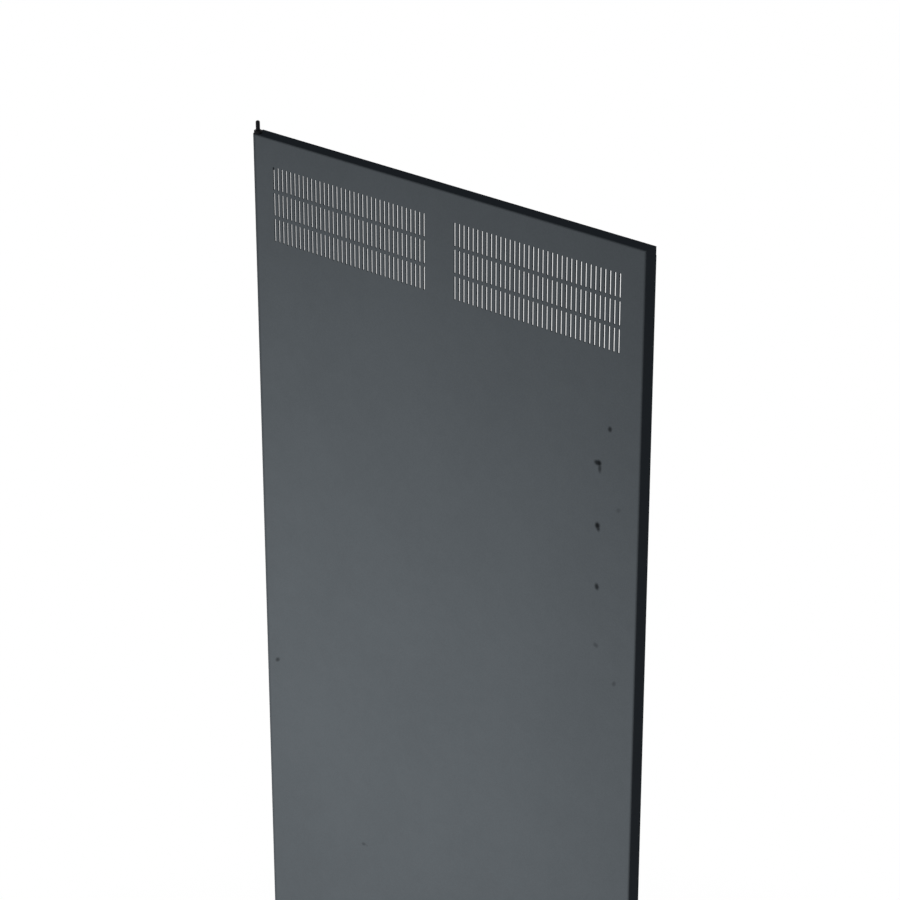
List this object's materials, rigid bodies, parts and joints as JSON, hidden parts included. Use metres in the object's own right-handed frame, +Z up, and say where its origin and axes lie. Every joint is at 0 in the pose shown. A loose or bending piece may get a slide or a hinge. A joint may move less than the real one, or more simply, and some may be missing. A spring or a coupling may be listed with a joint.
{
  "type": "vented rack door",
  "caption": "Tall folded sheet-metal rear door for an equipment rack, with upright vent slots near its top, a sprung hinge pin, a fixed lower pin and a quarter-turn cam lock.",
  "frame": {"origin": "on the hinge axis, at the underside of the bottom washer, where the door stands on the rack's lower bracket", "axes": "+Z up along the hinge axis, +X from the hinge edge to the lock edge, +Y from the front face into the rack"},
  "size_m": [0.5515, 0.0272, 1.9846],
  "materials": {
    "powder_coat": "fine-textured satin powder coat",
    "black_oxide": "turned steel, black oxide",
    "spring_steel": "drawn wire",
    "zinc": "bright zinc plate",
    "black_nylon": "moulded nylon",
    "lock_chrome": "bright chrome plate",
    "black_rubber": "matt moulded rubber"
  },
  "bodies": {
    "door": {"door_panel": "powder_coat", "centre_stiffener": "powder_coat", "top_hinge_bracket": "powder_coat", "top_pin_spring": "spring_steel", "top_washer": "black_nylon", "bottom_hinge_bracket": "powder_coat", "bottom_hinge_pin": "black_oxide", "bottom_washer": "black_nylon", "lock_body": "lock_chrome", "lock_nut": "zinc", "lock_washer": "zinc", "earth_stud": "zinc", "earth_washer": "zinc", "earth_nut": "zinc", "door_bumpers": "black_rubber"},
    "hinge_pin": {"top_hinge_pin": "black_oxide", "top_pin_pull": "zinc"},
    "lock": {"lock_plug": "lock_chrome", "cam_stop": "zinc", "lock_cam": "zinc", "cam_split_ring": "zinc", "cam_screw": "zinc"}
  },
  "joints": [
    {"name": "top_pin_slide", "type": "slide", "parent": "door", "child": "hinge_pin", "axis": [0, 0, 1], "range_m": [-0.0111, 0], "stiffness_N_per_m": 400, "springref_m": 0.01, "deforming": ["top_pin_spring"]},
    {"name": "lock_turn", "type": "hinge", "parent": "door", "child": "lock", "pos_m": [0.52, 0, 0.9815], "axis": [0, -1, 0], "range_deg": [0, 90]}
  ]
}
